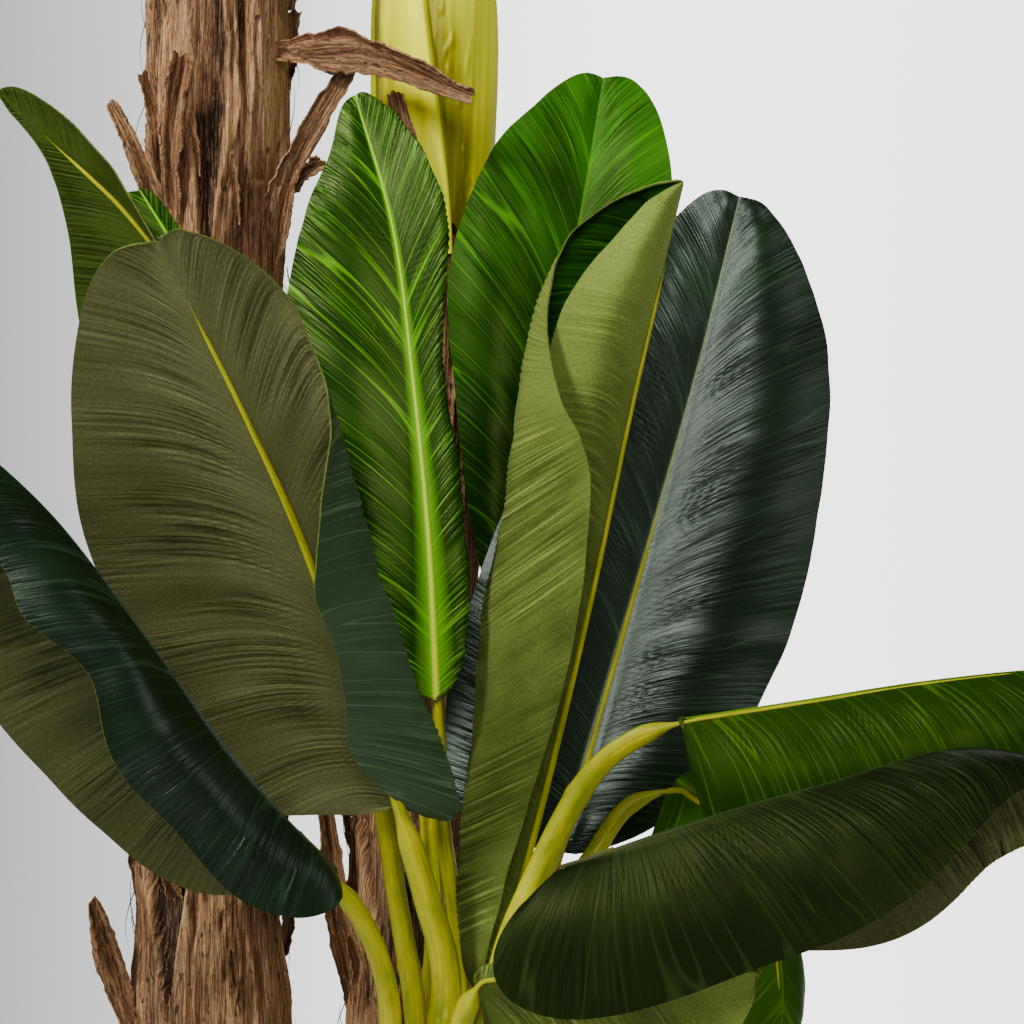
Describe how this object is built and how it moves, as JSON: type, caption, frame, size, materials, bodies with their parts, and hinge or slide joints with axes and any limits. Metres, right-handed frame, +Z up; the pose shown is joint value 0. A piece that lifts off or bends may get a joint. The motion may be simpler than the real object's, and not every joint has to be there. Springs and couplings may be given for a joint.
{
  "type": "artificial banana plant",
  "caption": "Artificial banana plant with fibrous bark trunks, wide arching leaves and long yellow-green stalks, standing in a plain round filled pot.",
  "frame": {"origin": "the middle of the pot's flat underside", "axes": "+Z up, +Y away from the front view, +X to the viewer's right; metres in the stored row, millimetres in the source"},
  "size_m": [1.4553, 1.2758, 2.4245],
  "materials": {
    "pot": "matt stone grey",
    "fill": "rough ballast topped with dried moss",
    "bark": "dry fibrous bark with torn ridges",
    "green_sheath": "satin yellow-green with overlapping sheath edges",
    "leaf_bright": "coated cloth, soft shine, pressed veins",
    "leaf_dark": "coated cloth, dark green, soft shine, pressed veins",
    "leaf_pale": "matt woven cloth underside, pale green"
  },
  "bodies": {
    "root": {"pot": "pot", "pot_fill": "fill", "trunk_tall": "bark", "trunk_middle": "bark", "stem_tall_green": "green_sheath", "stem_middle_green": "green_sheath", "stem_front": "green_sheath", "leaf_dark_right": "leaf_dark", "leaf_bright_back": "leaf_bright", "leaf_bright_middle": "leaf_bright", "leaf_rolled": "leaf_pale", "leaf_large_left": "leaf_dark", "leaf_tent_left": "leaf_dark", "leaf_tent_right": "leaf_dark", "leaf_bright_right": "leaf_bright", "leaf_hanging_right": "leaf_bright", "leaf_far_left": "leaf_dark", "leaf_behind_left": "leaf_bright", "leaf_low_front": "leaf_bright", "leaf_middle_1": "leaf_bright", "leaf_middle_2": "leaf_bright", "leaf_middle_3": "leaf_bright", "leaf_middle_4": "leaf_bright", "leaf_middle_5": "leaf_bright", "leaf_middle_6": "leaf_bright", "leaf_tall_1": "leaf_dark", "leaf_tall_2": "leaf_dark", "leaf_tall_3": "leaf_dark", "leaf_tall_4": "leaf_dark", "leaf_tall_5": "leaf_bright", "leaf_tall_6": "leaf_dark", "leaf_tall_7": "leaf_bright", "leaf_tall_8": "leaf_bright"}
  },
  "joints": []
}
